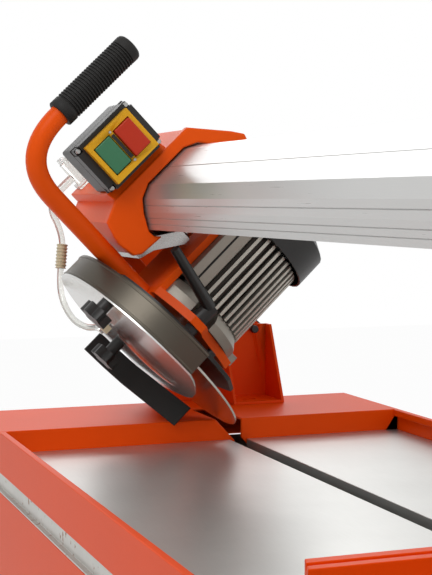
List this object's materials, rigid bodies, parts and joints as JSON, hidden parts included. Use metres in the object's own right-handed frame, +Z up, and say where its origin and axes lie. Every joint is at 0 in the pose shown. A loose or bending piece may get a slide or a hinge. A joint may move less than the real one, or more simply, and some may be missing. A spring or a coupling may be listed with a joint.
{
  "type": "tile cutter",
  "caption": "Bench tile saw: tilting overhead rail with a sliding, plunging motor head over a slotted table, water tray and folding legs.",
  "frame": {"origin": "on the floor, under the centre of the object's box", "axes": "+Z up, +Y away from the operator along the rail, +X to the operator's right"},
  "size_m": [0.611, 1.36, 1.2647],
  "materials": {
    "frame_orange": "gloss powder coat",
    "head_orange": "gloss powder coat on cast metal",
    "galvanised": "galvanised sheet",
    "table_plate": "satin",
    "rail_aluminium": "anodised satin",
    "motor_casting": "bare die casting",
    "guard_steel": "satin grey",
    "cover_steel": "satin",
    "rubber": "moulded",
    "blade_steel": "ground",
    "clear_plastic": "clear soft plastic",
    "cream_plastic": "moulded",
    "yellow_plastic": "moulded",
    "green_plastic": "moulded",
    "red_plastic": "moulded",
    "black_plastic": "moulded",
    "machined_steel": "zinc plated"
  },
  "bodies": {
    "stand": {"left_rail": "frame_orange", "right_rail": "frame_orange", "back_member": "frame_orange", "front_member": "frame_orange", "lower_body": "frame_orange", "water_tray": "galvanised", "water_pump": "black_plastic", "table_left": "table_plate", "table_right": "table_plate", "fence_left": "frame_orange", "fence_right": "frame_orange", "rear_bracket": "frame_orange", "front_bracket": "frame_orange", "rear_pivot_pin": "machined_steel", "front_pivot_pin": "machined_steel"},
    "rear_leg_frame": {"rear_legs": "frame_orange", "rear_left_foot": "rubber", "rear_right_foot": "rubber"},
    "front_leg_frame": {"front_legs": "frame_orange", "front_left_foot": "rubber", "front_right_foot": "rubber"},
    "rear_clamp": {"rear_bevel_knob": "black_plastic"},
    "front_clamp": {"front_bevel_knob": "black_plastic"},
    "bridge": {"rail": "rail_aluminium", "rear_arm": "frame_orange", "front_arm": "frame_orange"},
    "carriage": {"carriage": "head_orange", "roller_bracket": "machined_steel", "switch_box": "black_plastic", "switch_bezel": "yellow_plastic", "water_valve": "clear_plastic", "plunge_pin": "machined_steel", "hose": "clear_plastic", "hose_connector": "cream_plastic"},
    "top_roller_1": {"top_roller_1": "machined_steel"},
    "top_roller_2": {"top_roller_2": "machined_steel"},
    "lower_roller_1": {"lower_roller_1": "machined_steel"},
    "lower_roller_2": {"lower_roller_2": "machined_steel"},
    "carriage_lock": {"carriage_lock_knob": "black_plastic"},
    "green_button": {"green_button": "green_plastic"},
    "red_button": {"red_button": "red_plastic"},
    "head": {"motor_plate": "head_orange", "motor_flange": "motor_casting", "motor_body": "motor_casting", "fan_cover": "black_plastic", "terminal_box": "motor_casting", "handle_tube": "head_orange", "grip": "rubber", "guard_shell": "guard_steel", "guard_cover": "cover_steel", "inner_guard": "black_plastic", "splash_flap": "rubber"},
    "clamp_lever": {"clamp_lever": "black_plastic"},
    "upper_cover_knob": {"upper_cover_knob": "black_plastic"},
    "lower_cover_knob": {"lower_cover_knob": "black_plastic"},
    "spindle": {"motor_shaft": "machined_steel", "blade": "blade_steel", "blade_flange": "machined_steel", "spindle_nut": "machined_steel"}
  },
  "joints": [
    {"name": "bevel_tilt", "type": "hinge", "parent": "stand", "child": "bridge", "pos_m": [0.044, 0.42, 0.71], "axis": [0, 1, 0], "range_deg": [0, 44]},
    {"name": "carriage_slide", "type": "slide", "parent": "bridge", "child": "carriage", "axis": [0, -1, 0], "range_m": [0, 0.7]},
    {"name": "plunge", "type": "hinge", "parent": "carriage", "child": "head", "pos_m": [-0.04016, 0.55, 0.91232], "axis": [0.7193, 0, 0.6947], "range_deg": [0, 22], "deforming": ["splash_flap"]},
    {"name": "blade_spin", "type": "hinge", "parent": "head", "child": "spindle", "pos_m": [-0.09007, 0.42, 0.84883], "axis": [0.7193, 0, 0.6947], "continuous": true},
    {"name": "top_roller_1_spin", "type": "hinge", "parent": "carriage", "child": "top_roller_1", "pos_m": [-0.11143, 0.395, 1.09553], "axis": [0.7193, 0, 0.6947], "continuous": true},
    {"name": "top_roller_2_spin", "type": "hinge", "parent": "carriage", "child": "top_roller_2", "pos_m": [-0.11143, 0.53, 1.09553], "axis": [0.7193, 0, 0.6947], "continuous": true},
    {"name": "lower_roller_1_spin", "type": "hinge", "parent": "carriage", "child": "lower_roller_1", "pos_m": [-0.04026, 0.42, 1.01607], "axis": [0.7193, 0, 0.6947], "continuous": true},
    {"name": "lower_roller_2_spin", "type": "hinge", "parent": "carriage", "child": "lower_roller_2", "pos_m": [-0.04026, 0.52, 1.01607], "axis": [0.7193, 0, 0.6947], "continuous": true},
    {"name": "carriage_lock_turn", "type": "hinge", "parent": "carriage", "child": "carriage_lock", "pos_m": [-0.09312, 0.48, 1.11975], "axis": [-0.6947, 0, 0.7193], "continuous": true},
    {"name": "green_press", "type": "slide", "parent": "carriage", "child": "green_button", "axis": [0, 1, 0], "range_m": [0, 0.003], "stiffness_N_per_m": 300},
    {"name": "red_press", "type": "slide", "parent": "carriage", "child": "red_button", "axis": [0, 1, 0], "range_m": [0, 0.003], "stiffness_N_per_m": 300},
    {"name": "plunge_clamp", "type": "hinge", "parent": "head", "child": "clamp_lever", "pos_m": [-0.05177, 0.34, 0.89555], "axis": [0.7193, 0, 0.6947], "range_deg": [-22, 25]},
    {"name": "upper_cover_knob_turn", "type": "hinge", "parent": "head", "child": "upper_cover_knob", "pos_m": [-0.19431, 0.325, 0.91359], "axis": [0.7193, 0, 0.6947], "continuous": true},
    {"name": "lower_cover_knob_turn", "type": "hinge", "parent": "head", "child": "lower_cover_knob", "pos_m": [-0.12693, 0.5, 0.84382], "axis": [0.7193, 0, 0.6947], "continuous": true},
    {"name": "rear_clamp_turn", "type": "hinge", "parent": "stand", "child": "rear_clamp", "pos_m": [0.1431, 0.66, 0.84997], "axis": [0, 1, 0], "continuous": true},
    {"name": "front_clamp_turn", "type": "hinge", "parent": "stand", "child": "front_clamp", "pos_m": [0.1431, -0.66, 0.84997], "axis": [0, 1, 0], "continuous": true},
    {"name": "rear_leg_fold", "type": "hinge", "parent": "stand", "child": "rear_leg_frame", "pos_m": [0, 0.57, 0.535], "axis": [-1, 0, 0], "range_deg": [0, 86]},
    {"name": "front_leg_fold", "type": "hinge", "parent": "stand", "child": "front_leg_frame", "pos_m": [0, -0.57, 0.535], "axis": [1, 0, 0], "range_deg": [0, 86]}
  ],
  "couplings": [
    {"joint": "top_roller_1_spin", "follows": "carriage_slide", "rad_per_m": -90.909},
    {"joint": "top_roller_2_spin", "follows": "carriage_slide", "rad_per_m": -90.909},
    {"joint": "lower_roller_1_spin", "follows": "carriage_slide", "rad_per_m": 111.11},
    {"joint": "lower_roller_2_spin", "follows": "carriage_slide", "rad_per_m": 111.11}
  ]
}
